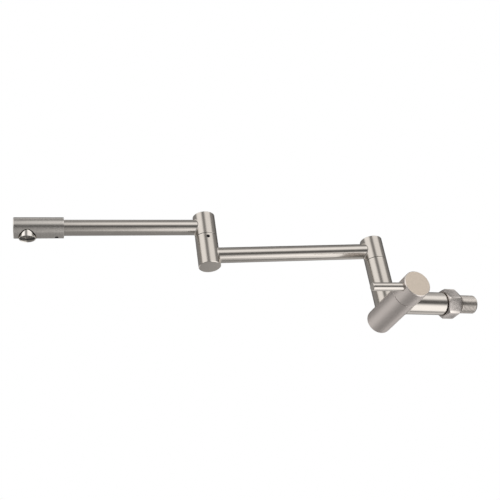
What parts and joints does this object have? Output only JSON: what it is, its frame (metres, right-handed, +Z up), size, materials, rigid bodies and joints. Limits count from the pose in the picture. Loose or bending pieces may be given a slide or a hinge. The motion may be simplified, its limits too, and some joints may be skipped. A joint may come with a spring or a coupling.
{
  "type": "wall mounted pot filler",
  "caption": "Wall mounted pot filler: side lever valve, upright column and a folding arm with an elbow swivel, ending in a sleeve with a round outlet.",
  "frame": {"origin": "on the inlet axis, at the root of the male G1/2 wall thread", "axes": "+X along the inlet axis into the wall, +Z up the column, -Y towards the knob along the valve"},
  "size_m": [0.5119, 0.1328, 0.149],
  "materials": {
    "brushed_nickel": "brushed nickel over brass",
    "chrome": "polished chrome",
    "brass": "turned brass",
    "rubber": "black rubber",
    "nylon": "dark nylon",
    "ceramic": "lapped white ceramic",
    "dark_steel": "blackened steel",
    "aerator_plastic": "grey moulded plastic"
  },
  "bodies": {
    "base": {"inlet_nipple": "brushed_nickel", "union_washer": "rubber", "union_nut": "brushed_nickel", "inlet_tube": "brushed_nickel", "valve_body": "brushed_nickel", "cartridge_body": "brass", "cartridge_seat_seal": "rubber", "fixed_ceramic_disc": "ceramic", "column_tube": "brushed_nickel", "column_set_screw": "dark_steel"},
    "handle": {"knob": "brushed_nickel", "lever_rod": "brushed_nickel", "cartridge_spindle": "brass", "spindle_o_rings": "rubber", "turning_ceramic_disc": "ceramic"},
    "inner_arm": {"column_head": "brushed_nickel", "column_o_rings": "rubber", "column_washer": "nylon", "inner_arm_tube": "brushed_nickel", "elbow_socket": "brushed_nickel", "elbow_set_screw": "dark_steel"},
    "outer_arm": {"elbow_head": "brushed_nickel", "elbow_o_rings": "rubber", "elbow_washer": "nylon", "outer_arm_tube": "brushed_nickel", "spout_sleeve": "brushed_nickel", "spout_set_screw": "dark_steel", "spout_o_ring": "rubber", "outlet_nozzle": "chrome", "aerator_washer": "rubber", "aerator_cage": "aerator_plastic", "aerator_grid": "chrome"}
  },
  "joints": [
    {"name": "handle_turn", "type": "hinge", "parent": "base", "child": "handle", "pos_m": [-0.08, 0.025, 0], "axis": [0, 1, 0], "range_deg": [0, 90]},
    {"name": "column_swivel", "type": "hinge", "parent": "base", "child": "inner_arm", "pos_m": [-0.08, 0.025, 0.0673], "axis": [0, 0, 1], "range_deg": [-97.1, 112.9]},
    {"name": "elbow_swivel", "type": "hinge", "parent": "inner_arm", "child": "outer_arm", "pos_m": [-0.2786, 0.05256, 0.10515], "axis": [0, 0, 1], "continuous": true}
  ]
}
